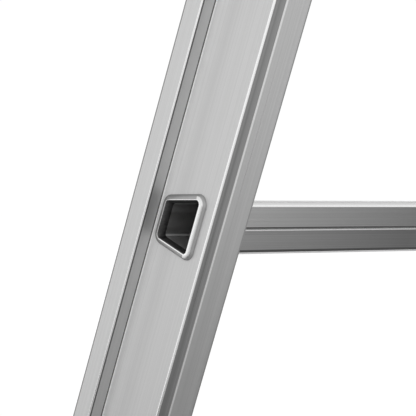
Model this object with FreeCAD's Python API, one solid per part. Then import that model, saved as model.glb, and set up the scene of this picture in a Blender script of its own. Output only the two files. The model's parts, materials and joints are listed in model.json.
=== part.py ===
import FreeCAD, Part
import math
import os

# Two-section push-up extension ladder, leaning at its working angle. Millimetres.
#
# Everything is drawn in the ladder's own frame: X across the ladder, Y through its depth from the
# climber's side (-) to the wall side (+), Z up along the rails, measured from the floor. The last
# step leans it, so that +Z is up and the wall is towards +Y. The origin is on the floor, midway
# between the feet.

V = FreeCAD.Vector

# ---- overall ----
LEAN = 23.0                    # degrees between the rails and the vertical
SECTION_WIDTH = 420.0          # over the outside of both rails
RUNG_PITCH = 280.0             # also the height of the first rung along the rails
BASE_RUNGS = 9
FLY_RUNGS = 8
FLY_FIRST = 2                  # the base rung that the fly's first rung stands beside when closed
BASE_HEAD = 100.0              # rail above the last base rung
FLY_TAIL = 100.0               # rail below the first fly rung
FLY_HEAD = 140.0               # rail above the last fly rung
SECTION_GAP = 4.0              # between the rails of the two sections

# ---- rail extrusion ----
RAIL_DEPTH = 73.0
RAIL_WIDTH = 35.7
RAIL_WALL = 2.2
BEAD_DEPTH = 16.0              # front bead, along the rail's depth
WEB_STEP = 11.3                # how far the web lies back from the bead's face
BEVEL_DEPTH = 7.1              # rear bevel, along the rail's depth
BEVEL_ACROSS = 3.7
LIP = 13.0                     # return lips of the open side
EDGE_R = 1.2
LIP_R = 0.8

# ---- rung extrusion ----
RUNG_FROM_STEP = 7.7           # web between the rail's bead and the rung's front
RUNG_FROM_BEVEL = 11.2         # web between the rung's rear and the rail's bevel
RUNG_REAR_HEIGHT = 38.8
RUNG_WALL = 1.8
RUNG_R = 3.0
GROOVE_HALF = 1.1
GROOVE_DEPTH = 0.8
SWAGE_WIDTH = 4.0              # bead round the hole
SWAGE_THICK = 2.6

# ---- stabiliser ----
BAR_LENGTH = 850.0
BAR_DEPTH = 70.0
BAR_HEIGHT = 30.0
BAR_WALL = 2.5
BAR_CLEARANCE = 45.0           # underside of the bar above the floor, along the rails
FOOT_WALL = 6.0
FOOT_LENGTH = 70.0
FOOT_END = 8.0
FOOT_R = 4.0
ANGLE_THICK = 4.0
ANGLE_ROOM = 1.5               # between the angle and each of the rail's lips
ANGLE_HEIGHT = 60.0
ANGLE_REACH = 26.0             # of the lower leaf, past the rail's open side
BOLT_R = 4.0
BOLT_HEAD_R = 7.5
BOLT_HEAD = 5.3
NUT_HEIGHT = 6.5
BOLT_TAIL = 3.0
BOLT_SPREAD = 24.0             # between the two bolts of one angle
BOLT_FROM_RAIL = 12.0

# ---- rivets ----
RIVET_R = 2.4
RIVET_HEAD_R = 4.8
RIVET_HEAD = 1.6
RIVET_ROOM = 0.9               # between a rivet's head and a wall beside it

# ---- caps ----
CAP_HEAD = 24.0
CAP_TAIL = 8.0
CAP_PLUG = 13.0
CAP_PROUD = 1.0
WALL_PAD = 8.0                 # how far a top cap stands behind its rail
CAP_R = 2.0
PLUG_CLEARANCE = 0.4

# ---- straps that hold one section to the other ----
STRAP = 3.0
STRAP_HEIGHT = 50.0
STRAP_BEND = 1.2
STRAP_FROM_STEP = 3.0
STRAP_FROM_BEVEL = 5.9         # web left bare behind the riveted length
STRAP_LIP = 24.0               # turned-in lip over the bead
KEEPER_LIP = 36.5              # the same on the side where the rail's face lies further in
LINER = 1.5
RUNNING = 0.5                  # clearance of everything that slides
LINER_SIDE = 24.0
STRAP_ABOVE_RUNG = 35.0        # guide strap, above the last base rung
KEEPER_ABOVE_END = 10.0        # keeper strap, above the fly's lower end
PAD_WIDTH = 18.0

# ---- rung hooks ----
PLATE = 3.0
PLATE_HEIGHT = 80.0
PLATE_ABOVE_RUNG = 25.0        # plate's lower edge above the fly rung's middle
PIVOT_ABOVE_RUNG = 40.0
PIVOT_FROM_REAR = 19.5         # pivot ahead of the fly rail's rear face
PIN_R = 5.0
PIN_HEAD_R = 8.0
PIN_HEAD = 3.0
PIN_TAIL_R = 6.0               # riveted end behind the plate
PIN_FIT = 0.05
HOOK_THICK = 6.0
HOOK_BOSS_R = 11.0
HOOK_SEAT = 0.3                # play between hook and rung
HOOK_PLAY = 0.8                # play behind the rung
HOOK_FINGER = 8.0
HOOK_GRIP = 26.0               # how far the finger reaches down behind the rung
HOOK_DEEP = 20.0               # depth of the hook's arm over the rung
HOOK_THROAT_R = 1.0
HOOK_MOUTH_R = 2.0
HOOK_TIP_R = 3.0
HOOK_BACK_R = 12.0
THUMB_LENGTH = 18.0
THUMB_REACH = 12.0
SPRING_ROOM = 7.5
SPRING_WIRE = 0.8              # radius
SPRING_R = 7.2
SPRING_TURNS = 3
SPRING_LEG = 16.0

CUT_PAST = 1.0                 # how far a cut runs past the faces it opens

# ---- worked out ----
HALF = SECTION_WIDTH / 2
WEB_OUT = HALF - WEB_STEP                   # outer face of the web
WEB_IN = WEB_OUT - RAIL_WALL
OPEN_SIDE = HALF - RAIL_WIDTH               # plane of the return lips
BASE_FRONT = -RAIL_DEPTH / 2
BASE_REAR = RAIL_DEPTH / 2
FLY_SHIFT = -(RAIL_DEPTH + SECTION_GAP)
FLY_FRONT = BASE_FRONT + FLY_SHIFT
FLY_REAR = BASE_REAR + FLY_SHIFT
BASE_FOOT = BAR_CLEARANCE + BAR_HEIGHT
BASE_TOP = RUNG_PITCH * BASE_RUNGS + BASE_HEAD
FLY_START = RUNG_PITCH * FLY_FIRST
FLY_FOOT = FLY_START - FLY_TAIL
FLY_TOP = FLY_START + RUNG_PITCH * (FLY_RUNGS - 1) + FLY_HEAD
WEB_FLAT = RAIL_DEPTH - BEAD_DEPTH - BEVEL_DEPTH
RUNG_DEPTH = WEB_FLAT - RUNG_FROM_STEP - RUNG_FROM_BEVEL
RUNG_MIDDLE = BASE_FRONT + BEAD_DEPTH + RUNG_FROM_STEP + RUNG_DEPTH / 2
STRAP_LAP = WEB_FLAT - STRAP_FROM_STEP - STRAP_FROM_BEVEL       # riveted length on the web
ANGLE_DEPTH = RAIL_DEPTH - 2 * (LIP + ANGLE_ROOM)
THROUGH = 2 * RAIL_WIDTH                    # length of a cut that goes right through a rail
TREAD = math.tan(math.radians(LEAN))        # treads are level when the ladder leans
RUNG_BOTTOM = -RUNG_REAR_HEIGHT / 2
RUNG_REAR_TOP = RUNG_REAR_HEIGHT / 2
RUNG_FRONT_TOP = RUNG_REAR_TOP - RUNG_DEPTH * TREAD


def corner_arc(before, corner, after, radius):
    """Two tangent points and the middle of the arc that rounds a corner."""
    back = (before - corner).normalize()
    ahead = (after - corner).normalize()
    half_turn = back.getAngle(ahead) / 2
    along = radius / math.tan(half_turn)
    middle = (back + ahead).normalize()
    centre = corner + middle * (radius / math.sin(half_turn))
    return corner + back * along, centre - middle * radius, corner + ahead * along


def outline(corners, place):
    """A flat face from corners (p, q, radius); place(p, q) gives the point in space."""
    points = [place(p, q) for p, q, _ in corners]
    edges = []
    first = None
    last = None
    for i, (_, _, radius) in enumerate(corners):
        point = points[i]
        start = point
        end = point
        if radius:
            following = points[(i + 1) % len(points)]
            start, middle, end = corner_arc(points[i - 1], point, following, radius)
        if last is None:
            first = start
        else:
            edges.append(Part.LineSegment(last, start).toShape())
        if radius:
            edges.append(Part.Arc(start, middle, end).toShape())
        last = end
    edges.append(Part.LineSegment(last, first).toShape())
    return Part.Face(Part.Wire(edges))


def box(x0, x1, y0, y1, z0, z1):
    return Part.makeBox(x1 - x0, y1 - y0, z1 - z0, V(x0, y0, z0))


def both_sides(make):
    """The right-hand piece from make(), and its mirror image on the left."""
    right = make()
    return {"right": right, "left": right.mirror(V(0, 0, 0), V(1, 0, 0))}


# ---------------------------------------------------------------- rungs
def rung_corners(grow, groove):
    """The trapezoid of a rung, grown outwards by grow, with its tread level in use."""
    front = -RUNG_DEPTH / 2 - grow
    rear = RUNG_DEPTH / 2 + grow
    bottom = RUNG_BOTTOM - grow
    slant = grow / math.cos(math.radians(LEAN))
    rear_top = RUNG_REAR_TOP + slant + grow * TREAD
    front_top = RUNG_FRONT_TOP + slant - grow * TREAD
    radius = max(RUNG_R + grow, LIP_R)
    corners = [(front, bottom, radius), (rear, bottom, radius)]
    if groove:
        corners.append((rear, -GROOVE_HALF, 0))
        corners.append((rear - GROOVE_DEPTH, 0, 0))
        corners.append((rear, GROOVE_HALF, 0))
    return corners + [(rear, rear_top, radius), (front, front_top, radius)]


def rung_face(grow, x, depth_shift, height, groove=False):
    middle = RUNG_MIDDLE + depth_shift
    return outline(rung_corners(grow, groove), lambda p, q: V(x, middle + p, height + q))


def rung_block(grow, x0, x1, depth_shift, height, groove=False):
    return rung_face(grow, x0, depth_shift, height, groove).extrude(V(x1 - x0, 0, 0))


def rung(depth_shift, height):
    """Hollow rung with a swaged bead on each side of both webs."""
    end = WEB_OUT + SWAGE_THICK
    tube = rung_block(0, -WEB_IN, WEB_IN, depth_shift, height, groove=True)
    for side in (-1, 1):
        neck = sorted((side * WEB_IN, side * WEB_OUT))
        outer = sorted((side * WEB_OUT, side * end))
        inner = sorted((side * (WEB_IN - SWAGE_THICK), side * WEB_IN))
        tube = tube.fuse(rung_block(0, *neck, depth_shift, height))
        tube = tube.fuse(rung_block(SWAGE_WIDTH, *outer, depth_shift, height))
        tube = tube.fuse(rung_block(SWAGE_WIDTH, *inner, depth_shift, height))
    bore = rung_block(-RUNG_WALL, -end - CUT_PAST, end + CUT_PAST, depth_shift, height)
    return tube.cut(bore).removeSplitter()


# ---------------------------------------------------------------- rails
def rail_face(shift, height):
    """Section of the right-hand rail: bead at the front, web set back, open towards the rungs."""
    def place(across, depth):
        return V(HALF - across, BASE_FRONT + shift + depth, height)

    web_back = WEB_STEP + RAIL_WALL
    turn = math.atan2(BEVEL_ACROSS, BEVEL_DEPTH)
    web_slope = RAIL_WALL * math.tan(turn / 2)
    rear_slope = RAIL_WALL * math.tan((math.pi / 2 - turn) / 2)
    inner_rear = RAIL_DEPTH - RAIL_WALL
    section = outline([
        (0, 0, EDGE_R),
        (0, BEAD_DEPTH, EDGE_R),
        (WEB_STEP, BEAD_DEPTH, LIP_R),
        (WEB_STEP, RAIL_DEPTH - BEVEL_DEPTH, EDGE_R),
        (WEB_STEP + BEVEL_ACROSS, RAIL_DEPTH, EDGE_R),
        (RAIL_WIDTH, RAIL_DEPTH, EDGE_R),
        (RAIL_WIDTH, RAIL_DEPTH - LIP, LIP_R),
        (RAIL_WIDTH - RAIL_WALL, RAIL_DEPTH - LIP, LIP_R),
        (RAIL_WIDTH - RAIL_WALL, inner_rear, LIP_R),
        (WEB_STEP + BEVEL_ACROSS + rear_slope, inner_rear, LIP_R),
        (web_back, RAIL_DEPTH - BEVEL_DEPTH - web_slope, LIP_R),
        (web_back, RAIL_WALL, LIP_R),
        (RAIL_WIDTH - RAIL_WALL, RAIL_WALL, LIP_R),
        (RAIL_WIDTH - RAIL_WALL, LIP, LIP_R),
        (RAIL_WIDTH, LIP, LIP_R),
        (RAIL_WIDTH, 0, EDGE_R),
    ], place)
    hollow = outline([
        (RAIL_WALL, RAIL_WALL, LIP_R),
        (RAIL_WALL, BEAD_DEPTH - RAIL_WALL, LIP_R),
        (WEB_STEP, BEAD_DEPTH - RAIL_WALL, LIP_R),
        (WEB_STEP, RAIL_WALL, LIP_R),
    ], place)
    return section.cut(hollow)


def rail(shift, bottom, top, rung_heights, holes):
    """Right-hand rail of one section, pierced for its rungs and for the given fasteners."""
    bar = rail_face(shift, bottom).extrude(V(0, 0, top - bottom))
    for height in rung_heights:
        bar = bar.cut(rung_block(0, WEB_IN - CUT_PAST, WEB_OUT + CUT_PAST, shift, height))
    for hole in holes:
        bar = bar.cut(hole)
    return bar


def base_rung_heights():
    return [RUNG_PITCH * (n + 1) for n in range(BASE_RUNGS)]


def fly_rung_heights():
    return [FLY_START + RUNG_PITCH * n for n in range(FLY_RUNGS)]


# ---------------------------------------------------------------- rivets
def rivet_hole(x, y, z):
    return Part.makeCylinder(RIVET_R, 2 * THROUGH, V(x - THROUGH, y, z), V(1, 0, 0))


def rivet(spot, x_in, x_out):
    """A rivet along X whose shank spans x_in to x_out, with a low head on both ends."""
    y, z = spot
    shank = Part.makeCylinder(RIVET_R, x_out - x_in, V(x_in, y, z), V(1, 0, 0))
    outer = Part.makeCone(RIVET_HEAD_R, RIVET_R, RIVET_HEAD, V(x_out, y, z), V(1, 0, 0))
    inner = Part.makeCone(RIVET_HEAD_R, RIVET_R, RIVET_HEAD, V(x_in, y, z), V(-1, 0, 0))
    return shank.fuse([outer, inner]).removeSplitter()


def rivet_pair_spots(low, high, z0, z1, edge):
    """Two rivets near opposite corners of a riveted lap."""
    return [(low + edge, z0 + edge), (high - edge, z1 - edge)]


# ---------------------------------------------------------------- straps
def guide_strap_span():
    low = BASE_TOP - BASE_HEAD + STRAP_ABOVE_RUNG
    return low, low + STRAP_HEIGHT


def keeper_strap_span():
    low = FLY_FOOT + KEEPER_ABOVE_END
    return low, low + STRAP_HEIGHT


STRAP_IN = HALF + LINER + RUNNING           # inner face of a strap where it passes the beads
STRAP_OUT = STRAP_IN + STRAP
GUIDE_JOG = BASE_FRONT + BEAD_DEPTH + STRAP_FROM_STEP
GUIDE_FACE = FLY_FRONT - LINER - RUNNING    # inner face of the guide's lip
KEEPER_JOG = FLY_REAR - BEVEL_DEPTH - STRAP
KEEPER_FACE = BASE_REAR + LINER + RUNNING
KEEPER_START = KEEPER_JOG + STRAP - STRAP_LAP


def guide_rivet_spots():
    edge = 2 * RIVET_HEAD_R
    return rivet_pair_spots(GUIDE_JOG + STRAP, GUIDE_JOG + STRAP_LAP, *guide_strap_span(), edge)


def keeper_rivet_spots():
    edge = 2 * RIVET_HEAD_R
    return rivet_pair_spots(KEEPER_START, KEEPER_JOG, *keeper_strap_span(), edge)


def guide_bracket():
    """Strap riveted to the top of the base web, round the fly's bead."""
    low, high = guide_strap_span()
    face = outline([
        (WEB_OUT, GUIDE_JOG, 0),
        (WEB_OUT, GUIDE_JOG + STRAP_LAP, 0),
        (WEB_OUT + STRAP, GUIDE_JOG + STRAP_LAP, STRAP_BEND),
        (WEB_OUT + STRAP, GUIDE_JOG + STRAP, STRAP_BEND),
        (STRAP_OUT, GUIDE_JOG + STRAP, STRAP_BEND + STRAP),
        (STRAP_OUT, GUIDE_FACE - STRAP, STRAP_BEND + STRAP),
        (STRAP_OUT - STRAP_LIP, GUIDE_FACE - STRAP, STRAP_BEND),
        (STRAP_OUT - STRAP_LIP, GUIDE_FACE, 0),
        (STRAP_IN, GUIDE_FACE, STRAP_BEND),
        (STRAP_IN, GUIDE_JOG, STRAP_BEND),
    ], lambda p, q: V(p, q, low))
    strap = face.extrude(V(0, 0, high - low))
    for y, z in guide_rivet_spots():
        strap = strap.cut(rivet_hole(WEB_OUT, y, z))
    return strap


def guide_liner():
    """Plastic bearing inside the guide strap's lip, round the fly's bead."""
    low, high = guide_strap_span()
    inner_face = GUIDE_FACE + LINER
    face = outline([
        (STRAP_OUT - STRAP_LIP, GUIDE_FACE, 0),
        (STRAP_IN - STRAP_BEND, GUIDE_FACE, STRAP_BEND),
        (STRAP_IN, GUIDE_FACE + STRAP_BEND, 0),
        (STRAP_IN, GUIDE_FACE + LINER_SIDE, 0),
        (STRAP_IN - LINER, GUIDE_FACE + LINER_SIDE, 0),
        (STRAP_IN - LINER, inner_face, 0),
        (STRAP_OUT - STRAP_LIP, inner_face, 0),
    ], lambda p, q: V(p, q, low))
    return face.extrude(V(0, 0, high - low))


def keeper_bracket():
    """Strap riveted to the foot of the fly web, round the base rail's rear face."""
    low, high = keeper_strap_span()
    face = outline([
        (WEB_OUT, KEEPER_START, 0),
        (WEB_OUT, KEEPER_JOG + STRAP, STRAP_BEND),
        (STRAP_IN, KEEPER_JOG + STRAP, STRAP_BEND),
        (STRAP_IN, KEEPER_FACE, STRAP_BEND),
        (STRAP_OUT - KEEPER_LIP, KEEPER_FACE, 0),
        (STRAP_OUT - KEEPER_LIP, KEEPER_FACE + STRAP, STRAP_BEND),
        (STRAP_OUT, KEEPER_FACE + STRAP, STRAP_BEND + STRAP),
        (STRAP_OUT, KEEPER_JOG, STRAP_BEND + STRAP),
        (WEB_OUT + STRAP, KEEPER_JOG, STRAP_BEND),
        (WEB_OUT + STRAP, KEEPER_START, STRAP_BEND),
    ], lambda p, q: V(p, q, low))
    strap = face.extrude(V(0, 0, high - low))
    for y, z in keeper_rivet_spots():
        strap = strap.cut(rivet_hole(WEB_OUT, y, z))
    return strap


def keeper_liner():
    """Plastic bearing inside the keeper strap's lip, against the base rail's rear face."""
    low, high = keeper_strap_span()
    inner_end = STRAP_OUT - KEEPER_LIP
    return box(inner_end, WEB_OUT, KEEPER_FACE - LINER, KEEPER_FACE, low, high)


def slide_pad(rear_face, low, high, out):
    """Plastic strip that fills the gap between the sections, less its running clearance."""
    thick = SECTION_GAP - RUNNING
    start = rear_face if out > 0 else rear_face - thick
    middle = HALF - WEB_STEP - BEVEL_ACROSS - PAD_WIDTH / 2 - EDGE_R
    return box(middle - PAD_WIDTH / 2, middle + PAD_WIDTH / 2, start, start + thick, low, high)


# ---------------------------------------------------------------- caps
def plug(shift, z0, z1):
    """The part of a cap that fills the rail's channel."""
    web_back = WEB_STEP + RAIL_WALL + PLUG_CLEARANCE
    edge = RAIL_WALL + PLUG_CLEARANCE
    rear = RAIL_DEPTH - BEVEL_DEPTH - RAIL_WALL
    front = BASE_FRONT + shift
    return box(OPEN_SIDE + edge, HALF - web_back, front + edge, front + rear, z0, z1)


def top_cap(shift, rail_end):
    """Cap with a rear pad whose face is upright when the ladder leans, so that it lies on a wall."""
    front = BASE_FRONT + shift - CAP_PROUD
    rear = BASE_REAR + shift + WALL_PAD
    face = outline([
        (front, rail_end, 0),
        (front, rail_end + CAP_HEAD, CAP_R),
        (rear - CAP_HEAD * TREAD, rail_end + CAP_HEAD, CAP_R),
        (rear, rail_end, 0),
    ], lambda p, q: V(OPEN_SIDE - CAP_PROUD, p, q))
    head = face.extrude(V(RAIL_WIDTH + 2 * CAP_PROUD, 0, 0))
    return head.fuse(plug(shift, rail_end - CAP_PLUG, rail_end)).removeSplitter()


def bottom_cap(shift, rail_end):
    front = BASE_FRONT + shift
    face = outline([
        (front, rail_end - CAP_TAIL, CAP_R),
        (front + RAIL_DEPTH, rail_end - CAP_TAIL, CAP_R),
        (front + RAIL_DEPTH, rail_end, 0),
        (front, rail_end, 0),
    ], lambda p, q: V(OPEN_SIDE, p, q))
    head = face.extrude(V(RAIL_WIDTH, 0, 0))
    return head.fuse(plug(shift, rail_end, rail_end + CAP_PLUG)).removeSplitter()


# ---------------------------------------------------------------- stabiliser
def bar_block(grow, x0, x1):
    """The stabiliser bar's section, grown outwards by grow."""
    radius = EDGE_R + max(grow, -EDGE_R / 2)
    half = BAR_DEPTH / 2 + grow
    face = outline([
        (-half, BAR_CLEARANCE - grow, radius),
        (half, BAR_CLEARANCE - grow, radius),
        (half, BASE_FOOT + grow, radius),
        (-half, BASE_FOOT + grow, radius),
    ], lambda p, q: V(x0, p, q))
    return face.extrude(V(x1 - x0, 0, 0))


def bolt_x():
    return OPEN_SIDE - BOLT_FROM_RAIL


def bolt_spots():
    """Where the bolts stand on one side, as (x, y)."""
    return [(bolt_x(), -BOLT_SPREAD / 2), (bolt_x(), BOLT_SPREAD / 2)]


def bolt_hole(x, y):
    return Part.makeCylinder(BOLT_R, 4 * BAR_HEIGHT, V(x, y, BAR_CLEARANCE - BAR_HEIGHT))


def stabiliser_bar():
    bar = bar_block(0, -BAR_LENGTH / 2, BAR_LENGTH / 2)
    half = BAR_LENGTH / 2 + CUT_PAST
    bar = bar.cut(bar_block(-BAR_WALL, -half, half))
    for x, y in bolt_spots():
        bar = bar.cut(bolt_hole(x, y))
        bar = bar.cut(bolt_hole(-x, y))
    return bar


def stabiliser_foot():
    """Rubber boot on the bar's end; its sole lies flat on the floor when the ladder leans."""
    half = BAR_DEPTH / 2 + FOOT_WALL
    inner = BAR_LENGTH / 2 - FOOT_LENGTH
    outer = BAR_LENGTH / 2 + FOOT_END
    top = BASE_FOOT + FOOT_WALL
    face = outline([
        (-half, -half * TREAD, 0),
        (half, half * TREAD, 0),
        (half, top, FOOT_R),
        (-half, top, FOOT_R),
    ], lambda p, q: V(inner, p, q))
    boot = face.extrude(V(outer - inner, 0, 0))
    return boot.cut(bar_block(0, inner - CUT_PAST, BAR_LENGTH / 2))


def foot_rivet_spots():
    low = BASE_FOOT + ANGLE_THICK
    high = BASE_FOOT + ANGLE_HEIGHT
    middle = ANGLE_DEPTH / 2
    return rivet_pair_spots(-middle, middle, low, high, 2 * RIVET_HEAD_R)


def foot_bracket():
    """Angle inside the rail's foot: one leaf riveted to the web, one bolted to the bar."""
    inner = bolt_x() - ANGLE_REACH + BOLT_FROM_RAIL
    half = ANGLE_DEPTH / 2
    high = BASE_FOOT + ANGLE_HEIGHT
    upright = box(WEB_IN - ANGLE_THICK, WEB_IN, -half, half, BASE_FOOT, high)
    flat = box(inner, WEB_IN, -half, half, BASE_FOOT, BASE_FOOT + ANGLE_THICK)
    angle = upright.fuse(flat).removeSplitter()
    for x, y in bolt_spots():
        angle = angle.cut(bolt_hole(x, y))
    for y, z in foot_rivet_spots():
        angle = angle.cut(rivet_hole(WEB_IN, y, z))
    return angle


def hexagon(x, y, z, radius, height):
    corners = []
    for n in range(6):
        turn = math.radians(60 * n)
        corners.append((x + radius * math.cos(turn), y + radius * math.sin(turn), 0))
    return outline(corners, lambda p, q: V(p, q, z)).extrude(V(0, 0, height))


def stabiliser_bolt(x, y):
    """Bolt through the angle and the bar, with its head on top."""
    head_z = BASE_FOOT + ANGLE_THICK
    end = BAR_CLEARANCE - NUT_HEIGHT - BOLT_TAIL
    shank = Part.makeCylinder(BOLT_R, head_z - end, V(x, y, end))
    return shank.fuse(hexagon(x, y, head_z, BOLT_HEAD_R, BOLT_HEAD)).removeSplitter()


def stabiliser_nut(x, y):
    nut = hexagon(x, y, BAR_CLEARANCE - NUT_HEIGHT, BOLT_HEAD_R, NUT_HEIGHT)
    return nut.cut(bolt_hole(x, y))


# ---------------------------------------------------------------- rung hooks
PIVOT_Y = FLY_REAR - PIVOT_FROM_REAR
PIVOT_Z = FLY_START + PIVOT_ABOVE_RUNG
PLATE_IN = OPEN_SIDE - PLATE
HOOK_OUT = PLATE_IN - SPRING_ROOM
HOOK_IN = HOOK_OUT - HOOK_THICK
SPRING_MID = (PLATE_IN + HOOK_OUT) / 2


def plate_rivet_spots():
    low = FLY_START + PLATE_ABOVE_RUNG
    from_face = RAIL_WALL + RIVET_HEAD_R + RIVET_ROOM
    front = FLY_FRONT + from_face
    rear = FLY_REAR - from_face
    edge = 2 * RIVET_HEAD_R
    return [(y, z) for y in (front, rear) for z in (low + edge, low + PLATE_HEIGHT - edge)]


def hook_bracket():
    """Plate across the open side of the fly rail, riveted to its lips, that carries the hook's pin."""
    low = FLY_START + PLATE_ABOVE_RUNG
    plate = box(PLATE_IN, OPEN_SIDE, FLY_FRONT, FLY_REAR, low, low + PLATE_HEIGHT)
    plate = plate.cut(Part.makeCylinder(PIN_R, THROUGH, V(HOOK_IN, PIVOT_Y, PIVOT_Z), V(1, 0, 0)))
    for y, z in plate_rivet_spots():
        plate = plate.cut(rivet_hole(PLATE_IN, y, z))
    return plate


def hook_pin():
    """Pin riveted into the plate, with a head that keeps the hook on."""
    head_x = HOOK_IN - 2 * PIN_FIT - PIN_HEAD
    pin = Part.makeCylinder(PIN_HEAD_R, PIN_HEAD, V(head_x, PIVOT_Y, PIVOT_Z), V(1, 0, 0))
    shank = Part.makeCylinder(PIN_R, OPEN_SIDE - head_x, V(head_x, PIVOT_Y, PIVOT_Z), V(1, 0, 0))
    tail = Part.makeCylinder(PIN_TAIL_R, PIN_HEAD / 2, V(OPEN_SIDE, PIVOT_Y, PIVOT_Z), V(1, 0, 0))
    return pin.fuse([shank, tail]).removeSplitter()


def rung_hook():
    """Hook that lies on the tread of a base rung and reaches down behind it."""
    rung_front = RUNG_MIDDLE - RUNG_DEPTH / 2
    rung_rear = RUNG_MIDDLE + RUNG_DEPTH / 2
    seat = HOOK_SEAT / math.cos(math.radians(LEAN))
    throat_front = rung_front - HOOK_PLAY
    throat_rear = rung_rear + HOOK_PLAY
    seat_front = FLY_START + RUNG_FRONT_TOP + seat - HOOK_PLAY * TREAD
    seat_rear = FLY_START + RUNG_REAR_TOP + seat + HOOK_PLAY * TREAD
    tip = seat_rear - HOOK_GRIP
    arm_top = PIVOT_Z + HOOK_BOSS_R
    back = throat_rear + HOOK_FINGER
    face = outline([
        (PIVOT_Y, PIVOT_Z - HOOK_BOSS_R, 0),
        (throat_front, seat_front, HOOK_MOUTH_R),
        (throat_rear, seat_rear, HOOK_THROAT_R),
        (throat_rear, tip, HOOK_MOUTH_R),
        (back, tip, HOOK_TIP_R),
        (back, seat_rear + HOOK_DEEP, HOOK_BACK_R),
        (PIVOT_Y, arm_top, 0),
        (PIVOT_Y - HOOK_BOSS_R, PIVOT_Z, 0),
    ], lambda p, q: V(HOOK_IN, p, q))
    blade = face.extrude(V(HOOK_THICK, 0, 0))
    boss = Part.makeCylinder(HOOK_BOSS_R, HOOK_THICK, V(HOOK_IN, PIVOT_Y, PIVOT_Z), V(1, 0, 0))
    thumb_z = seat_rear + HOOK_DEEP
    thumb = box(HOOK_IN - THUMB_REACH, HOOK_IN, throat_rear - THUMB_LENGTH, throat_rear,
                thumb_z - 2 * PLATE, thumb_z - PLATE)
    hook = blade.fuse([boss, thumb]).removeSplitter()
    bore_r = PIN_R + PIN_FIT
    bore = Part.makeCylinder(bore_r, THROUGH, V(HOOK_IN - CUT_PAST, PIVOT_Y, PIVOT_Z), V(1, 0, 0))
    return hook.cut(bore)


def hook_spring():
    """Torsion spring round the pin, between the plate and the hook."""
    pitch = 2 * SPRING_WIRE + RUNNING / 2
    width = pitch * SPRING_TURNS
    helix = Part.makeHelix(pitch, width, SPRING_R)
    wire = Part.Wire(helix.Edges)
    ring = Part.makeCircle(SPRING_WIRE, V(SPRING_R, 0, 0), V(0, 1, 0))
    coil = wire.makePipeShell([Part.Wire([ring])], True, True)
    ahead = V(0, 1, 0)
    lower = Part.makeCylinder(SPRING_WIRE, SPRING_LEG, V(SPRING_R, 0, 0), ahead * -1)
    upper = Part.makeCylinder(SPRING_WIRE, SPRING_LEG, V(SPRING_R, 0, width), ahead)
    spring = coil.fuse([lower, upper])
    spring.translate(V(0, 0, -width / 2))
    spring.rotate(V(0, 0, 0), V(0, 0, 1), -90)
    spring.rotate(V(0, 0, 0), V(0, 1, 0), 90)
    spring.translate(V(SPRING_MID, PIVOT_Y, PIVOT_Z))
    return spring


# ---------------------------------------------------------------- the pieces
def rail_holes(spots):
    return [rivet_hole(WEB_OUT, y, z) for y, z in spots]


def build():
    nodes = {}

    def pair(name, make):
        for side, piece in both_sides(make).items():
            nodes[name + "_" + side] = piece

    def group(name, pieces):
        """Identical fasteners of both sides, as one node of separate solids."""
        mirrored = [piece.mirror(V(0, 0, 0), V(1, 0, 0)) for piece in pieces]
        nodes[name] = Part.makeCompound(pieces + mirrored)

    # base section
    base_holes = rail_holes(guide_rivet_spots() + foot_rivet_spots())
    pair("base_rail", lambda: rail(0, BASE_FOOT, BASE_TOP, base_rung_heights(), base_holes))
    for n, height in enumerate(base_rung_heights()):
        nodes["base_rung_%d" % (n + 1)] = rung(0, height)
    pair("base_top_cap", lambda: top_cap(0, BASE_TOP))
    pair("guide_bracket", guide_bracket)
    pair("guide_liner", guide_liner)
    guide_low, guide_high = guide_strap_span()
    pair("base_slide_pad", lambda: slide_pad(BASE_FRONT, guide_low, guide_high, -1))
    group("guide_rivets", [rivet(spot, WEB_IN, WEB_OUT + STRAP) for spot in guide_rivet_spots()])

    # stabiliser
    nodes["stabiliser_bar"] = stabiliser_bar()
    pair("stabiliser_foot", stabiliser_foot)
    pair("foot_bracket", foot_bracket)
    inner = WEB_IN - ANGLE_THICK
    group("foot_rivets", [rivet(spot, inner, WEB_OUT) for spot in foot_rivet_spots()])
    group("stabiliser_bolts", [stabiliser_bolt(x, y) for x, y in bolt_spots()])
    group("stabiliser_nuts", [stabiliser_nut(x, y) for x, y in bolt_spots()])

    # fly section
    fly_holes = rail_holes(keeper_rivet_spots()) + lip_holes()
    pair("fly_rail", lambda: rail(FLY_SHIFT, FLY_FOOT, FLY_TOP, fly_rung_heights(), fly_holes))
    for n, height in enumerate(fly_rung_heights()):
        nodes["fly_rung_%d" % (n + 1)] = rung(FLY_SHIFT, height)
    pair("fly_top_cap", lambda: top_cap(FLY_SHIFT, FLY_TOP))
    pair("fly_bottom_cap", lambda: bottom_cap(FLY_SHIFT, FLY_FOOT))
    pair("keeper_bracket", keeper_bracket)
    pair("keeper_liner", keeper_liner)
    keeper_low, keeper_high = keeper_strap_span()
    pair("fly_slide_pad", lambda: slide_pad(FLY_REAR, keeper_low, keeper_high, 1))
    group("keeper_rivets", [rivet(spot, WEB_IN, WEB_OUT + STRAP) for spot in keeper_rivet_spots()])

    # rung hooks
    pair("hook_bracket", hook_bracket)
    pair("hook_pin", hook_pin)
    pair("hook_spring", hook_spring)
    lip_face = OPEN_SIDE + RAIL_WALL
    group("hook_rivets", [rivet(spot, PLATE_IN, lip_face) for spot in plate_rivet_spots()])
    pair("rung_hook", rung_hook)
    return nodes


def lip_holes():
    """Holes through the fly rail's lips only, for the hook plate's rivets."""
    length = RAIL_WALL + 2 * CUT_PAST
    start = OPEN_SIDE - CUT_PAST
    return [Part.makeCylinder(RIVET_R, length, V(start, y, z), V(1, 0, 0)) for y, z in plate_rivet_spots()]


os.makedirs("parts", exist_ok=True)
for name, shape in build().items():
    shape.rotate(V(0, 0, 0), V(1, 0, 0), -LEAN)
    valid = shape.isValid()
    print(name, "solids", len(shape.Solids), "valid", valid, "volume %.0f" % shape.Volume)
    shape.exportStep("parts/" + name + ".step")
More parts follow.
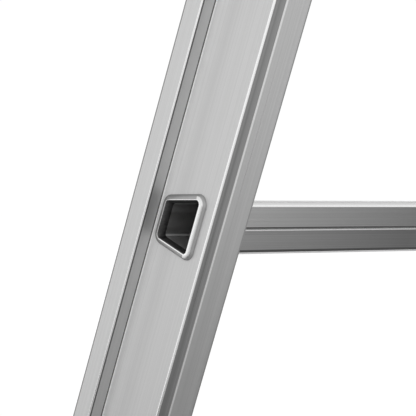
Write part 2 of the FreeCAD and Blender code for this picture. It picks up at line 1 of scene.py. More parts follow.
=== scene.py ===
# %% [markdown]
# A two-section aluminium extension ladder leans at its working angle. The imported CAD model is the
# frame: every piece made here takes its place from it and rides on one of its bodies. What the CAD
# shapes well is kept and given a finish. What the eye rests on, the rails, rungs, rivets and rubber
# feet, is made again with the small rounds and marks that the real ones have.

# %% Load the frame
import json
import math
import bmesh
import bpy
from mathutils import Matrix, Vector


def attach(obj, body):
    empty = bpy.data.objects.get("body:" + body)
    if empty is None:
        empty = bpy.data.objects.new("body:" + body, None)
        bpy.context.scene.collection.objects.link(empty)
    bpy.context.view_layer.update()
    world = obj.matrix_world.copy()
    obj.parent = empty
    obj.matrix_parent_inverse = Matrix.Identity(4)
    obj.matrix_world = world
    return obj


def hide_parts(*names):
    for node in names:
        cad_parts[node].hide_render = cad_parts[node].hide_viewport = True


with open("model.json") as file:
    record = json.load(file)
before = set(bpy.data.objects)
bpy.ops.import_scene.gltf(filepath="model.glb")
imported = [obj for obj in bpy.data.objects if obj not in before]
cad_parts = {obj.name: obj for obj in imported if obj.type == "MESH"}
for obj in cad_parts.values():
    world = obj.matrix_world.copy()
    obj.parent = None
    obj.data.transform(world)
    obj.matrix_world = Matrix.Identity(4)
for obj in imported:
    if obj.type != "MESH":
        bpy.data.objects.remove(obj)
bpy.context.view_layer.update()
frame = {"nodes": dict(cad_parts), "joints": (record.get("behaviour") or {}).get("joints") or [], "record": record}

print("nodes", len(frame["nodes"]))

# %% [markdown]
# The ladder leans 23 degrees from upright, towards the wall at +Y. Its own axes make everything
# simpler: X across the ladder, Y through its depth, Z up along the rails. One matrix turns a piece
# made in those axes into its leaning place. The joint of the fly says which way the rails run, so
# the angle comes from there and isn't written twice.

# %% The ladder's own axes
MM = 0.001
slide = next(j for j in frame["joints"] if j["name"] == "fly_slide")
LEAN = math.atan2(slide["axis"][1], slide["axis"][2])
TREAD_SLOPE = math.tan(LEAN)
LEANING = Matrix.Rotation(-LEAN, 4, "X")
UPRIGHT = LEANING.inverted()
SIDES = {"right": 1, "left": -1}
print("lean %.1f degrees" % math.degrees(LEAN))

# %% [markdown]
# Places are read from the CAD nodes, in the ladder's own axes. A box is enough for all of them: rails
# and rungs are straight, and the set of rivets is split into single rivets further down.

# %% Reading places from the frame
def box_of(points):
    """Lowest and highest corners of some points."""
    low = Vector([min(p[i] for p in points) for i in range(3)])
    high = Vector([max(p[i] for p in points) for i in range(3)])
    return low, high


def ladder_box(node):
    return box_of([UPRIGHT @ v.co for v in bpy.data.objects[node].data.vertices])


def body_of(node):
    groups = frame["record"]["behaviour"]["bodies"]
    return next(body for body, nodes in groups.items() if node in nodes)


def rungs_of(section):
    return sorted(n for n in frame["nodes"] if n.startswith(section + "_rung_"))


for section in ("base", "fly"):
    low, high = ladder_box(section + "_rail_right")
    print(section, "rails %.2f m long," % (high.z - low.z), len(rungs_of(section)), "rungs")

# %% [markdown]
# The camera comes first, because every finish is judged through it. It stands outside the right-hand
# rail, on the wall side, level, about as high as the first rung. A long lens more than a metre away
# keeps the rail's edges almost parallel, so the ladder's own shape does the drawing.

# %% Camera
CAMERA_TURN = 138.265             # degrees
CAMERA_LENS = 189.44              # mm, on a sensor 36 mm wide
CAMERA_SENSOR = 36.0
CAMERA_PLACE = Vector((1.11213, 1.16051, 0.26365))

camera_data = bpy.data.cameras.new("camera")
camera_data.sensor_width = CAMERA_SENSOR
camera_data.lens = CAMERA_LENS
camera = bpy.data.objects.new("camera", camera_data)
bpy.context.scene.collection.objects.link(camera)
camera.location = CAMERA_PLACE
camera.rotation_euler = (math.radians(90), 0, math.radians(CAMERA_TURN))
bpy.context.scene.camera = camera
print("camera %.2f m from the middle of the foot" % CAMERA_PLACE.length)

# %% [markdown]
# Metal shows little else than what it mirrors, so the room matters as much as the metal does. This
# floor is pale and glows like a light table, but stays dim in a long pool round the ladder's foot,
# so that faces which look down have something darker to mirror. The pool is a distance from the
# foot, squeezed along X, which a smooth step turns into an amount of glow.

# %% Pale floor
FLOOR_HALF = 60.0
FLOOR_GREY = 0.62
FLOOR_ROUGHNESS = 0.8
GLOW = 0.46                       # light that the far floor gives of itself
GLOW_FROM = 0.08                  # metres through the ladder's depth where the floor starts to glow
GLOW_FULL = 0.75                  # and where it glows in full
SHADE_LENGTH = 6.0                # the dim pool is this many times longer across the ladder


def glow_round_foot(paint):
    tree = paint.node_tree
    shader = tree.nodes["Principled BSDF"]
    shader.inputs["Emission Color"].default_value = (1, 1, 1, 1)
    place = tree.nodes.new("ShaderNodeTexCoord")
    pool = tree.nodes.new("ShaderNodeMapping")
    pool.inputs["Scale"].default_value = (1 / SHADE_LENGTH, 1, 1)
    distance = tree.nodes.new("ShaderNodeVectorMath")
    distance.operation = "LENGTH"
    glow = tree.nodes.new("ShaderNodeMapRange")
    glow.interpolation_type = "SMOOTHSTEP"
    glow.inputs["From Min"].default_value = GLOW_FROM
    glow.inputs["From Max"].default_value = GLOW_FULL
    glow.inputs["To Max"].default_value = GLOW
    tree.links.new(place.outputs["Object"], pool.inputs["Vector"])
    tree.links.new(pool.outputs["Vector"], distance.inputs[0])
    tree.links.new(distance.outputs["Value"], glow.inputs["Value"])
    tree.links.new(glow.outputs["Result"], shader.inputs["Emission Strength"])


def new_material(name, colour, roughness, metallic):
    paint = bpy.data.materials.new(name)
    paint.use_nodes = True
    shader = paint.node_tree.nodes["Principled BSDF"]
    shader.inputs["Base Color"].default_value = (*colour, 1)
    shader.inputs["Roughness"].default_value = roughness
    shader.inputs["Metallic"].default_value = metallic
    return paint, shader


def pale_floor():
    mesh = bpy.data.meshes.new("floor")
    corners = [(-1, -1, 0), (1, -1, 0), (1, 1, 0), (-1, 1, 0)]
    mesh.from_pydata([Vector(c) * FLOOR_HALF for c in corners], [], [(0, 1, 2, 3)])
    paint, _ = new_material("pale_floor", [FLOOR_GREY] * 3, FLOOR_ROUGHNESS, 0.0)
    glow_round_foot(paint)
    mesh.materials.append(paint)
    floor = bpy.data.objects.new("floor", mesh)
    bpy.context.scene.collection.objects.link(floor)


pale_floor()
print("floor %.0f m wide, dim within %.2f m before and behind the foot" % (2 * FLOOR_HALF, GLOW_FULL))

# %% [markdown]
# There are no lamps. A white sky lights everything softly: brightest at the horizon and a little
# dimmer overhead, as a studio's walls and ceiling are, so upright faces and level ones differ. The
# standard view transform keeps white paper white.

# %% Sky
SKY_HORIZON = 1.02
SKY_OVERHEAD = 0.85
SKY_FROM = 0.12                   # height of the direction, 0 level to 1 straight up
SKY_TO = 0.6


def bright_horizon():
    world = bpy.data.worlds.new("studio")
    world.use_nodes = True
    tree = world.node_tree
    sky = tree.nodes["Background"]
    sky.inputs["Color"].default_value = (1, 1, 1, 1)
    place = tree.nodes.new("ShaderNodeTexCoord")
    split = tree.nodes.new("ShaderNodeSeparateXYZ")
    fade = tree.nodes.new("ShaderNodeMapRange")
    fade.inputs["From Min"].default_value = SKY_FROM
    fade.inputs["From Max"].default_value = SKY_TO
    fade.inputs["To Min"].default_value = SKY_HORIZON
    fade.inputs["To Max"].default_value = SKY_OVERHEAD
    tree.links.new(place.outputs["Generated"], split.inputs["Vector"])
    tree.links.new(split.outputs["Z"], fade.inputs["Value"])
    tree.links.new(fade.outputs["Result"], sky.inputs["Strength"])
    bpy.context.scene.world = world


bpy.context.scene.view_settings.view_transform = "Standard"
bright_horizon()
print("sky %.2f at the horizon, %.2f overhead" % (SKY_HORIZON, SKY_OVERHEAD))

# %% [markdown]
# Most finishes start from noise: fine noise for the grain of the surface, broad noise for the cloud
# that years of handling leave. Its coordinates belong to the piece, turned back upright first, so
# that a stretch along Z follows the leaning rails.

# %% Noise for finishes
NOISE_DETAIL = 4.0
NOISE_ROUGHNESS = 0.65
NOISE_LOW = 0.3                   # nearly all of a noise lies between these two
NOISE_HIGH = 0.7


def upright_place(tree):
    """The place on the piece, in the ladder's own axes."""
    place = tree.nodes.new("ShaderNodeTexCoord")
    upright = tree.nodes.new("ShaderNodeMapping")
    upright.inputs["Rotation"].default_value = (LEAN, 0, 0)
    tree.links.new(place.outputs["Object"], upright.inputs["Vector"])
    return upright.outputs["Vector"]


def stretched_noise(tree, scale):
    """Noise with its own scale along each of the ladder's axes."""
    squeeze = tree.nodes.new("ShaderNodeMapping")
    squeeze.inputs["Scale"].default_value = scale
    noise = tree.nodes.new("ShaderNodeTexNoise")
    noise.inputs["Scale"].default_value = 1.0
    noise.inputs["Detail"].default_value = NOISE_DETAIL
    noise.inputs["Roughness"].default_value = NOISE_ROUGHNESS
    tree.links.new(upright_place(tree), squeeze.inputs["Vector"])
    tree.links.new(squeeze.outputs["Vector"], noise.inputs["Vector"])
    return noise.outputs["Fac"]


def map_range(tree, value, before, after):
    """Turns the numbers before[0]..before[1] into after[0]..after[1]."""
    node = tree.nodes.new("ShaderNodeMapRange")
    node.inputs["From Min"].default_value = before[0]
    node.inputs["From Max"].default_value = before[1]
    node.inputs["To Min"].default_value = after[0]
    node.inputs["To Max"].default_value = after[1]
    tree.links.new(value, node.inputs["Value"])
    return node.outputs["Result"]


def spread_noise(tree, noise, low, high):
    return map_range(tree, noise, (NOISE_LOW, NOISE_HIGH), (low, high))


def mix_colours(tree, factor, dark, light):
    """A colour that runs from dark to light as factor goes from 0 to 1."""
    mix = tree.nodes.new("ShaderNodeMix")
    mix.data_type = "RGBA"
    mix.inputs["A"].default_value = (*dark, 1)
    mix.inputs["B"].default_value = (*light, 1)
    tree.links.new(factor, mix.inputs["Factor"])
    return mix.outputs["Result"]


def add_bump(tree, shader, height, strength, distance):
    bump = tree.nodes.new("ShaderNodeBump")
    bump.inputs["Strength"].default_value = strength
    bump.inputs["Distance"].default_value = distance
    tree.links.new(height, bump.inputs["Height"])
    tree.links.new(bump.outputs["Normal"], shader.inputs["Normal"])


print("noise from %.1f to %.1f is spread to full range" % (NOISE_LOW, NOISE_HIGH))

# %% [markdown]
# Drawn aluminium is a metal with fine lines along the way it came out of the die. The lines are too
# small to model, so they are noise stretched along the bar: it moves the roughness and the brightness
# a little and feeds a faint bump.

# %% Drawn metal
CLOUD = (9, 9, 4)
CLOUD_SPREAD = 0.02
LINE_HEIGHT = 0.05 * MM


def drawn_metal(name, grey, roughness, lines, contrast=0.05, spread=0.08, bump=0.25, metallic=1.0):
    """Metal with drawn lines; the scale called lines is small along the draw and large across it."""
    paint, shader = new_material(name, (grey, grey, grey), roughness, metallic)
    tree = paint.node_tree
    line_noise = stretched_noise(tree, lines)
    cloud = stretched_noise(tree, CLOUD)
    even = spread_noise(tree, line_noise, 0.0, 1.0)
    tone = mix_colours(tree, even, [grey - contrast] * 3, [grey + contrast] * 3)
    tree.links.new(tone, shader.inputs["Base Color"])
    add = tree.nodes.new("ShaderNodeMath")
    add.operation = "ADD"
    tree.links.new(spread_noise(tree, line_noise, -spread, spread), add.inputs[0])
    smooth = (roughness - CLOUD_SPREAD, roughness + CLOUD_SPREAD)
    tree.links.new(spread_noise(tree, cloud, *smooth), add.inputs[1])
    tree.links.new(add.outputs["Value"], shader.inputs["Roughness"])
    add_bump(tree, shader, line_noise, bump, LINE_HEIGHT)
    return paint


print("drawn lines %.2f mm high" % (LINE_HEIGHT / MM))

# %% [markdown]
# Some colours are painted light and shade. A rung is painted darker towards its middle, as painted
# shade, and the web is painted brighter beside the step of the rail, as painted light. Both are one
# number that depends on the place and multiplies the colour, so one helper serves them, and later the
# crystals of the zinc plate too.

# %% Painted shade and light
RUNG_BRIGHT_AT = 0.17             # metres from the rung's middle to where its painted shade ends


def multiply_colour(paint, factor):
    """Multiplies the colour that the paint already has by a number that changes over the surface."""
    tree = paint.node_tree
    shader = tree.nodes["Principled BSDF"]
    mix = tree.nodes.new("ShaderNodeMix")
    mix.data_type = "RGBA"
    mix.blend_type = "MULTIPLY"
    mix.inputs["Factor"].default_value = 1.0
    below = shader.inputs["Base Color"].links[0].from_socket
    tree.links.new(below, mix.inputs["A"])
    tree.links.new(factor, mix.inputs["B"])
    tree.links.new(mix.outputs["Result"], shader.inputs["Base Color"])
    return paint


def shaded_middle(paint, darkest):
    """The metal of a rung with painted shade: full bright near its ends and darkest halfway along."""
    tree = paint.node_tree
    place = tree.nodes.new("ShaderNodeTexCoord")
    split = tree.nodes.new("ShaderNodeSeparateXYZ")
    along = tree.nodes.new("ShaderNodeMath")
    along.operation = "ABSOLUTE"
    tree.links.new(place.outputs["Object"], split.inputs["Vector"])
    tree.links.new(split.outputs["X"], along.inputs[0])
    painted_shade = map_range(tree, along.outputs["Value"], (0.0, RUNG_BRIGHT_AT), (darkest, 1.0))
    return multiply_colour(paint, painted_shade)


def lighter_near(paint, line, reach, gain):
    """Painted light: brighter by gain at the depth called line, fading out over reach."""
    tree = paint.node_tree
    split = tree.nodes.new("ShaderNodeSeparateXYZ")
    tree.links.new(upright_place(tree), split.inputs["Vector"])
    painted_light = map_range(tree, split.outputs["Y"], (line, line + reach), (gain, 1.0))
    return multiply_colour(paint, painted_light)


print("rungs are worn within %.2f m of their middle" % RUNG_BRIGHT_AT)

# %% [markdown]
# One alloy is given many greys. The die leaves some faces smoother than others, which the roughness
# shows. The greys are painted light and shade: faces turned away are painted darker, proud edges carry
# painted highlights, and thin lines of painted shade run beside the step and along the outer edges.
# Each of these is the same drawn metal with its own grey and roughness, named for where it is found.

# %% The metals
RAIL_LINES = (900, 900, 2.0)      # noise scale along X, Y and Z: small along the draw
RUNG_LINES = (2.0, 900, 900)
BAR_LINES = (2.0, 800, 800)
BORE_LINES = (4, 500, 500)
ROLL_MARKS = (260, 260, 260)

WEB_GREY = 0.64
WEB_ROUGHNESS = 0.48
RAIL_METAL = drawn_metal("drawn_rail", WEB_GREY, WEB_ROUGHNESS, RAIL_LINES, metallic=0.5)
# darker copies of the rail's metal for the rear face, the step and the bevel: painted shade
REAR_METAL = drawn_metal("drawn_rear", 0.47, 0.34, RAIL_LINES)
STEP_METAL = drawn_metal("drawn_step", 0.58, 0.55, RAIL_LINES)
BEVEL_METAL = drawn_metal("drawn_bevel", 0.27, 0.34, RAIL_LINES)
# painted highlights on the rounded edges of rails and rungs, and on the bevel's rear edge
EDGE_METAL = drawn_metal("highlight_edge", 0.90, 0.24, RAIL_LINES, contrast=0.02, spread=0.03)
SOFT_METAL = drawn_metal("rear_edge", 0.70, 0.34, RAIL_LINES, contrast=0.02, spread=0.03)
# thin lines of painted shade beside the step and along the rail's two outer edges
SHADE_LINE_METAL = drawn_metal("edge_shade", 0.13, 0.55, RAIL_LINES, contrast=0.03, metallic=0.6)
OUTLINE_SHADE_METAL = drawn_metal("outer_edge_shade", 0.30, 0.55, RAIL_LINES, contrast=0.03, metallic=0.6)
# painted highlight in the corner beside the step
LIT_METAL = drawn_metal("corner_light", 0.95, 0.45, RAIL_LINES, contrast=0.02, metallic=0.1)

# the rung's metal is painted darker towards its middle: painted shade
RUNG_METAL = shaded_middle(drawn_metal("drawn_rung", 0.44, 0.34, RUNG_LINES), 0.55)
# a darker copy of the rung's metal for the lower half of its rear wall: painted shade
UNDER_SHADE_METAL = shaded_middle(drawn_metal("drawn_rung_lower_shade", 0.33, 0.34, RUNG_LINES), 0.5)
# painted highlight on the level tread and along the lower rear corner
TREAD_METAL = drawn_metal("tread_highlight", 0.90, 0.40, RUNG_LINES, contrast=0.04, bump=0.1, metallic=0.3)
# painted highlight on the tread's rounded nose and on the lower edge of the seam
NOSE_METAL = drawn_metal("tread_nose", 0.72, 0.30, RUNG_LINES, contrast=0.04, bump=0.1)
# painted shade in the seam, just above the lower rear corner and in the mouth's throat
SEAM_METAL = drawn_metal("seam_shadow", 0.10, 0.55, RUNG_LINES, contrast=0.03)
GLINT_METAL = drawn_metal("bore_corner", 0.50, 0.5, RUNG_LINES, contrast=0.04, metallic=0.3)
BORE_METAL = drawn_metal("mill_bore", 0.55, 0.5, BORE_LINES, contrast=0.03, bump=0.2)
# painted shade on the slopes of the swaged roll, and a painted highlight on its rear shoulder
SLOPE_METAL = drawn_metal("rolled_slope", 0.40, 0.40, ROLL_MARKS, contrast=0.02, spread=0.05, bump=0.1)
SWAGE_METAL = drawn_metal("pressed_swage", 0.78, 0.24, ROLL_MARKS, contrast=0.02, spread=0.05, bump=0.1)
BAR_METAL = drawn_metal("drawn_bar", 0.58, 0.36, BAR_LINES)
print(len(bpy.data.materials), "materials so far")

# %% [markdown]
# A rail is one extrusion, so one outline drawn well gives the whole bar. The corners of a die are
# rounded, and those rounds carry the thin bright lines that make metal look real, so each corner is
# an arc of several points. A corner with no radius is a plain point: it only divides a face, so that
# a narrow strip of it can have its own finish.

# %% Outlines with rounded corners
ARC_STEPS = 6


def rounded(corners):
    """Points of a closed outline from corners (p, q, radius), with an arc in each rounded corner."""
    points = []
    for i, (p, q, radius) in enumerate(corners):
        here = Vector((p, q))
        if not radius:
            points.append(here)
            continue
        before = Vector(corners[i - 1][:2])
        after = Vector(corners[(i + 1) % len(corners)][:2])
        back = (before - here).normalized()
        ahead = (after - here).normalized()
        half = back.angle(ahead) / 2
        centre = here + (back + ahead).normalized() * (radius / math.sin(half))
        start = here + back * (radius / math.tan(half)) - centre
        end = here + ahead * (radius / math.tan(half)) - centre
        turn = math.atan2(start.x * end.y - start.y * end.x, start.dot(end))
        for n in range(ARC_STEPS + 1):
            points.append(centre + Matrix.Rotation(turn * n / ARC_STEPS, 2) @ start)
    return points


print("a rounded square has", len(rounded([(0, 0, 1), (9, 0, 1), (9, 9, 1), (0, 9, 1)])), "points")

# %% [markdown]
# Bars, rungs, rivets and feet are all lofts: rings of points with a skin between each two. One helper
# makes that skin. Where a ring has shrunk to a single point, as at the middle of a rivet, the repeated
# corner is dropped and the face is a triangle.

# %% Skin between two rings
def skin_between(bm, before, after):
    """Faces between two rings with the same number of points, in the order of the points."""
    faces = []
    for i in range(len(before)):
        j = (i + 1) % len(before)
        corners = dict.fromkeys((before[i], before[j], after[j], after[i]))
        faces.append(bm.faces.new(list(corners)))
    return faces


print("a rounded corner has a skin of", ARC_STEPS, "faces")

# %% [markdown]
# Every made piece goes through one door: its mesh is leaned into place, its normals are weighted by
# face area so that large flats stay flat beside small rounds, it takes its body, and the CAD nodes
# that it stands for are hidden.

# %% Turning a mesh into a piece
SHARP = math.radians(34)
FLAT_FIRST = 80                   # how much more a large face counts than a small one, 50 is equal


def weigh_normals(piece):
    modifier = piece.modifiers.new("weighted_normals", "WEIGHTED_NORMAL")
    modifier.keep_sharp = True
    modifier.weight = FLAT_FIRST


def leaned_object(name, bm):
    """An object from a bmesh in the ladder's own axes, leaned into place."""
    bmesh.ops.recalc_face_normals(bm, faces=bm.faces)
    bm.transform(LEANING)
    mesh = bpy.data.meshes.new(name)
    bm.to_mesh(mesh)
    bm.free()
    made = bpy.data.objects.new(name, mesh)
    bpy.context.scene.collection.objects.link(made)
    return made


def make_piece(name, bm, materials, body, nodes):
    """A finished piece from a bmesh in the ladder's own axes, standing for the given CAD nodes."""
    piece = leaned_object(name, bm)
    for material in materials:
        piece.data.materials.append(material)
    piece.data.shade_smooth()
    piece.data.set_sharp_from_angle(angle=SHARP)
    weigh_normals(piece)
    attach(piece, body)
    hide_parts(*nodes)
    return piece


print("faces stay smooth across edges below %.0f degrees" % math.degrees(SHARP))

# %% [markdown]
# The rung's outline is a trapezoid whose top slopes by the lean, so that the tread is level in use. A
# rung is fixed by swaging: its end is pushed through the rail's web and rolled over into a bead on
# each side. Outline and bead share one idea, the outline grown outwards by some amount, so the whole
# rung is a loft of the same outline: place along the rung, and how far it is grown there.

# %% Rung outline
RUNG_DEPTH = 31.0 * MM
RUNG_HEIGHT = 38.8 * MM
RUNG_WALL = 1.8 * MM
RUNG_ROUND = 3.0 * MM
BORE_ROUND = 2.6 * MM             # the die leaves the bore's corners thick
GROOVE_HALF = 1.3 * MM
GROOVE_DEPTH = 1.2 * MM
GROOVE_DROP = 0.6 * MM            # the groove lies this much below the middle of the rung
GROOVE_POINT = GROOVE_HALF / 5    # its deepest line lies this much below its own middle
KEEL_LINE = 1.0 * MM              # a strip just above the lower rear corner for a line of painted shade
SWAGE_WIDTH = 4.0 * MM            # how far a rolled end stands out round the rung


def rung_corners(grow, groove=0.0):
    """Corners of the trapezoid grown by grow, as (depth, height, radius), about the rung's middle."""
    front = -RUNG_DEPTH / 2 - grow
    rear = RUNG_DEPTH / 2 + grow
    slant = grow / math.cos(LEAN)
    rear_top = RUNG_HEIGHT / 2 + slant + grow * TREAD_SLOPE
    front_top = RUNG_HEIGHT / 2 - RUNG_DEPTH * TREAD_SLOPE + slant - grow * TREAD_SLOPE
    bottom = -RUNG_HEIGHT / 2 - grow
    radius = max(RUNG_ROUND + grow, BORE_ROUND)
    return [
        (front, bottom, radius),
        (rear, bottom, radius),
        (rear, bottom + radius + KEEL_LINE, 0),
        (rear, -GROOVE_DROP - GROOVE_HALF, 0),
        (rear - groove, -GROOVE_DROP - GROOVE_POINT, 0),
        (rear, -GROOVE_DROP + GROOVE_HALF, 0),
        (rear, rear_top, radius),
        (front, front_top, radius),
    ]


def rung_centre(node):
    """Depth and height of a rung's middle, from its CAD box less the growth of its swaged ends."""
    low, high = ladder_box(node)
    return (low.y + high.y) / 2, low.z + SWAGE_WIDTH + RUNG_HEIGHT / 2


print("rung outline", len(rounded(rung_corners(0))), "points")
print("middle of the lowest rung %.0f mm along the rails" % (rung_centre("base_rung_1")[1] / MM))

# %% [markdown]
# The rail is a channel: a proud hollow bead at the front, a web set back from it that carries the
# rungs, a narrow bevel, a rear face and two return lips on the open side.

# %% Rail outline
RAIL_DEPTH = 73.0 * MM
RAIL_WIDTH = 35.7 * MM
RAIL_WALL = 2.2 * MM
BEAD_DEPTH = 16.0 * MM
WEB_STEP = 11.3 * MM
BEVEL_DEPTH = 7.1 * MM
BEVEL_ACROSS = 3.7 * MM
LIP = 13.0 * MM
EDGE_ROUND = 1.2 * MM
BEVEL_ROUND = 4.0 * MM            # the shallow corner between web and bevel
INNER_ROUND = 0.8 * MM
LINE = 0.6 * MM                   # width of the thin line of another tone beside a corner


def rail_outside():
    """Outline of the rail's outer side, from front to rear, as (across from outside, depth, radius)."""
    return [
        (0, 0, EDGE_ROUND),
        (0, EDGE_ROUND + LINE, 0),
        (0, BEAD_DEPTH, EDGE_ROUND),
        (EDGE_ROUND + LINE, BEAD_DEPTH, 0),
        (WEB_STEP - INNER_ROUND - LINE, BEAD_DEPTH, 0),
        (WEB_STEP, BEAD_DEPTH, INNER_ROUND),
        (WEB_STEP, BEAD_DEPTH + INNER_ROUND + LINE, 0),
        (WEB_STEP, RAIL_DEPTH - BEVEL_DEPTH, BEVEL_ROUND),
        (WEB_STEP + BEVEL_ACROSS, RAIL_DEPTH, EDGE_ROUND),
        (RAIL_WIDTH - EDGE_ROUND - LINE, RAIL_DEPTH, 0),
        (RAIL_WIDTH, RAIL_DEPTH, EDGE_ROUND),
    ]


print("outer side of the rail has", len(rail_outside()), "corners")

# %% [markdown]
# The wall is the same all round, so the inner side of the section follows the outer one, a wall's
# thickness further in, and ends in two lips that stiffen the open side. The bead is a closed box:
# its hollow is a loop of its own.

# %% Rail's open side and hollow
def rail_inside():
    """Outline of the rail's open side, from rear to front: lips, and walls as thick as the rest."""
    turn = math.atan2(BEVEL_ACROSS, BEVEL_DEPTH)
    web_slope = RAIL_WALL * math.tan(turn / 2)
    rear_slope = RAIL_WALL * math.tan((math.pi / 2 - turn) / 2)
    web_back = WEB_STEP + RAIL_WALL
    inner_rear = RAIL_DEPTH - RAIL_WALL
    lip_in = RAIL_WIDTH - RAIL_WALL
    return [
        (RAIL_WIDTH, RAIL_DEPTH - LIP, INNER_ROUND),
        (lip_in, RAIL_DEPTH - LIP, INNER_ROUND),
        (lip_in, inner_rear, INNER_ROUND),
        (WEB_STEP + BEVEL_ACROSS + rear_slope, inner_rear, INNER_ROUND),
        (web_back, RAIL_DEPTH - BEVEL_DEPTH - web_slope, INNER_ROUND),
        (web_back, RAIL_WALL, INNER_ROUND),
        (lip_in, RAIL_WALL, INNER_ROUND),
        (lip_in, LIP, INNER_ROUND),
        (RAIL_WIDTH, LIP, INNER_ROUND),
        (RAIL_WIDTH, 0, EDGE_ROUND),
    ]


def bead_hollow():
    far = BEAD_DEPTH - RAIL_WALL
    return [
        (RAIL_WALL, RAIL_WALL, INNER_ROUND),
        (RAIL_WALL, far, INNER_ROUND),
        (WEB_STEP, far, INNER_ROUND),
        (WEB_STEP, RAIL_WALL, INNER_ROUND),
    ]


print("rail outline", len(rounded(rail_outside() + rail_inside())), "points")

# %% [markdown]
# The press pushes the whole bar out in one go, and so does this: side walls for the outer loop and
# for the hollow of the bead, then a flat end between them. Blender's triangle fill finds the metal
# between the loops, and leaves the hollow open.

# %% Extruding a bar
def prism(bm, loops, low, high):
    """A bar between two heights whose section is the first loop less the others."""
    rims = ([], [])
    for loop in loops:
        rings = [[bm.verts.new((p[0], p[1], z)) for p in loop] for z in (low, high)]
        skin_between(bm, rings[0], rings[1])
        for rim, ring in zip(rims, rings):
            rim += [bm.edges.get(pair) for pair in zip(ring, ring[1:] + ring[:1])]
    for rim in rims:
        bmesh.ops.triangle_fill(bm, use_beauty=True, use_dissolve=False, edges=rim)


print("hollow of the bead %.1f mm across" % ((WEB_STEP - RAIL_WALL) / MM))

# %% [markdown]
# A punch then pierces the web for its rungs. Here it is one mesh of short bars with the rung's own
# outline, taken out of the rail with a boolean, which is applied at once so that the rail is a plain
# mesh again.

# %% Piercing the web
WEB_OUT = ladder_box("base_rail_right")[1].x - WEB_STEP
WEB_IN = WEB_OUT - RAIL_WALL
PUNCH_PAST = 1.0 * MM             # how far the punch passes the web on each side


def rung_punch(side, centres):
    """One mesh of short bars where the rungs pass through a web."""
    bm = bmesh.new()
    low, high = sorted((side * (WEB_IN - PUNCH_PAST), side * (WEB_OUT + PUNCH_PAST)))
    for depth, height in centres:
        loop = [(p.x + depth, p.y + height) for p in rounded(rung_corners(0))]
        rings = [[bm.verts.new((x, p[0], p[1])) for p in loop] for x in (low, high)]
        skin_between(bm, rings[0], rings[1])
        bm.faces.new(rings[0])
        bm.faces.new(reversed(rings[1]))
    return leaned_object("punch", bm)


def pierce(piece, punch):
    """Cuts the punch out of the piece for good, then throws the punch away."""
    cut = piece.modifiers.new("pierce", "BOOLEAN")
    cut.object = punch
    cut.operation = "DIFFERENCE"
    cut.solver = "EXACT"
    piece.modifiers.move(piece.modifiers.find("pierce"), 0)
    with bpy.context.temp_override(object=piece, active_object=piece, selected_objects=[piece]):
        bpy.ops.object.modifier_apply(modifier="pierce")
    bpy.data.objects.remove(punch, do_unlink=True)
    piece.data.set_sharp_from_angle(angle=SHARP)


print("web %.1f to %.1f mm from the ladder's middle" % (WEB_IN / MM, WEB_OUT / MM))

# %% [markdown]
# Each face of the rail takes its finish from where it lies on the outline. The web's own metal is
# painted brighter beside the step, as painted light against the bead's shade there, and because the
# two sections lie at different depths, each has its own.

# %% Rail finishes
# painted light on the web beside the step: how far it reaches and how much brighter it is
WEB_LIGHT_REACH = 16 * MM
WEB_LIGHT_GAIN = 1.55
NEAR_STEP = 0.15 * MM             # how near a face lies to the flat of the outline that it belongs to
NEAR_WEB = 0.3 * MM
NEAR_REAR = 0.1 * MM
NEAR_BEVEL = 1.0 * MM


def rail_finishes(section):
    """The finishes of a section's rails, by the names that finish_at gives."""
    web = drawn_metal(section + "_web", WEB_GREY, WEB_ROUGHNESS, RAIL_LINES, metallic=0.5)
    step = ladder_box(section + "_rail_right")[0].y + BEAD_DEPTH
    return {
        "plain": RAIL_METAL,
        "web": lighter_near(web, step, WEB_LIGHT_REACH, WEB_LIGHT_GAIN),
        "bevel": BEVEL_METAL,
        "step": STEP_METAL,
        "highlight": EDGE_METAL,
        "rear edge": SOFT_METAL,
        "rear": REAR_METAL,
        "shade": SHADE_LINE_METAL,
        "outline": OUTLINE_SHADE_METAL,
        "lit": LIT_METAL,
    }


def finish_at(across, depth):
    """Name of the finish at one place of the rail's outline."""
    spot = Vector((across, depth))

    def near(p, q, reach):
        return (spot - Vector((p, q))).length < reach

    bevel_start = RAIL_DEPTH - BEVEL_DEPTH
    on_step = abs(depth - BEAD_DEPTH) < NEAR_STEP
    # the outer edges and the lines beside the step are painted shade, bright edges and the corner by the step
    # painted highlights
    if near(0, 0, EDGE_ROUND + LINE) or near(RAIL_WIDTH, RAIL_DEPTH, EDGE_ROUND + LINE):
        return "outline"
    if on_step and across < EDGE_ROUND + LINE:
        return "shade"
    if near(0, BEAD_DEPTH, EDGE_ROUND) or near(WEB_STEP, bevel_start, EDGE_ROUND):
        return "highlight"
    if near(WEB_STEP + BEVEL_ACROSS, RAIL_DEPTH, EDGE_ROUND):
        return "rear edge"
    if abs(across - WEB_STEP - BEVEL_ACROSS / 2) < NEAR_BEVEL and depth > bevel_start + NEAR_BEVEL:
        return "bevel"
    if on_step and WEB_STEP - INNER_ROUND - LINE < across < WEB_STEP:
        return "shade"
    if on_step and across < WEB_STEP:
        return "step"
    if near(WEB_STEP, BEAD_DEPTH, INNER_ROUND + LINE):
        return "lit"
    if abs(across - WEB_STEP) < NEAR_WEB and depth > BEAD_DEPTH:
        return "web"
    if depth > RAIL_DEPTH - NEAR_REAR:
        return "rear"
    return "plain"


print("halfway through its depth a rail is finished as", finish_at(WEB_STEP, RAIL_DEPTH / 2))

# %% [markdown]
# The CAD box of each rail says where its outside, its front and its two ends are. A rail on the left
# is the same outline drawn towards the other side.

